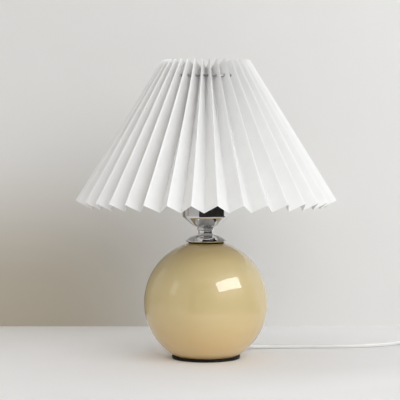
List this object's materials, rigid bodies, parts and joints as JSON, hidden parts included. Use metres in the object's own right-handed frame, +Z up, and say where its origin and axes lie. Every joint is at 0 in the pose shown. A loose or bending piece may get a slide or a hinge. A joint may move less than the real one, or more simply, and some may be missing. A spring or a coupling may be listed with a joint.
{
  "type": "table lamp",
  "caption": "Table lamp with a glazed ceramic globe on a black foot, a bright metal neck, a pleated cone shade that swivels, a bulb, a cord with a rocker switch and a plug.",
  "frame": {"origin": "centre of the foot pad's underside, on the table", "axes": "+Z up along the lamp's axis, front of the picture towards -Y, cord towards +X"},
  "size_m": [0.5618, 0.2988, 0.343],
  "materials": {
    "black_rubber": "matte",
    "black_enamel": "satin",
    "cream_glaze": "glossy glaze",
    "white_boot": "soft moulded",
    "cord_white": "smooth sheath",
    "zinc_steel": "zinc plated",
    "bright_chrome": "polished plate",
    "holder_black": "moulded",
    "porcelain": "fired",
    "brass": "plain",
    "black_glass": "glassy",
    "nickel": "nickel plated",
    "bulb_white": "moulded",
    "opal": "opal",
    "shade_white": "laminated, folded",
    "switch_white": "moulded"
  },
  "bodies": {
    "base": {"foot_pad": "black_rubber", "base_plate": "black_enamel", "ceramic_globe": "cream_glaze", "cord_boot": "white_boot", "cord_inner": "cord_white", "threaded_nipple": "zinc_steel", "rubber_washer": "black_rubber", "steel_washer": "zinc_steel", "clamp_nut": "zinc_steel", "canopy_gasket": "black_rubber", "canopy": "bright_chrome", "neck_spool": "bright_chrome", "socket_cup": "bright_chrome", "cup_nut": "zinc_steel", "lampholder_cap": "holder_black", "lampholder_insert": "porcelain", "screw_shell": "brass", "centre_contact": "brass", "lampholder_barrel": "holder_black", "shade_collar": "holder_black", "cord_lead": "cord_white", "switch_base": "switch_white", "switch_cover": "switch_white", "switch_pin": "zinc_steel", "switch_screws": "zinc_steel", "switch_contacts": "brass", "cord_coil": "cord_white", "coil_tie": "white_boot", "plug_body": "switch_white", "plug_pins": "nickel"},
    "shade": {"pleated_shade": "shade_white", "top_ring": "zinc_steel", "fitter_ring": "zinc_steel", "carrier_spokes": "zinc_steel"},
    "bulb": {"bulb_contact": "brass", "bulb_insulator": "black_glass", "bulb_cap": "nickel", "bulb_body": "bulb_white", "bulb_dome": "opal"},
    "rocker": {"switch_rocker": "switch_white"}
  },
  "joints": [
    {"name": "shade_swivel", "type": "hinge", "parent": "base", "child": "shade", "pos_m": [0, 0, 0.1834], "axis": [0, 0, 1], "continuous": true},
    {"name": "bulb_lift", "type": "slide", "parent": "base", "child": "bulb", "axis": [0, 0, 1], "range_m": [0, 0.03]},
    {"name": "switch_rock", "type": "hinge", "parent": "base", "child": "rocker", "pos_m": [0.2941, 0.12071, 0.009], "axis": [-0.3502, 0.9367, 0], "range_deg": [0, 16]}
  ]
}
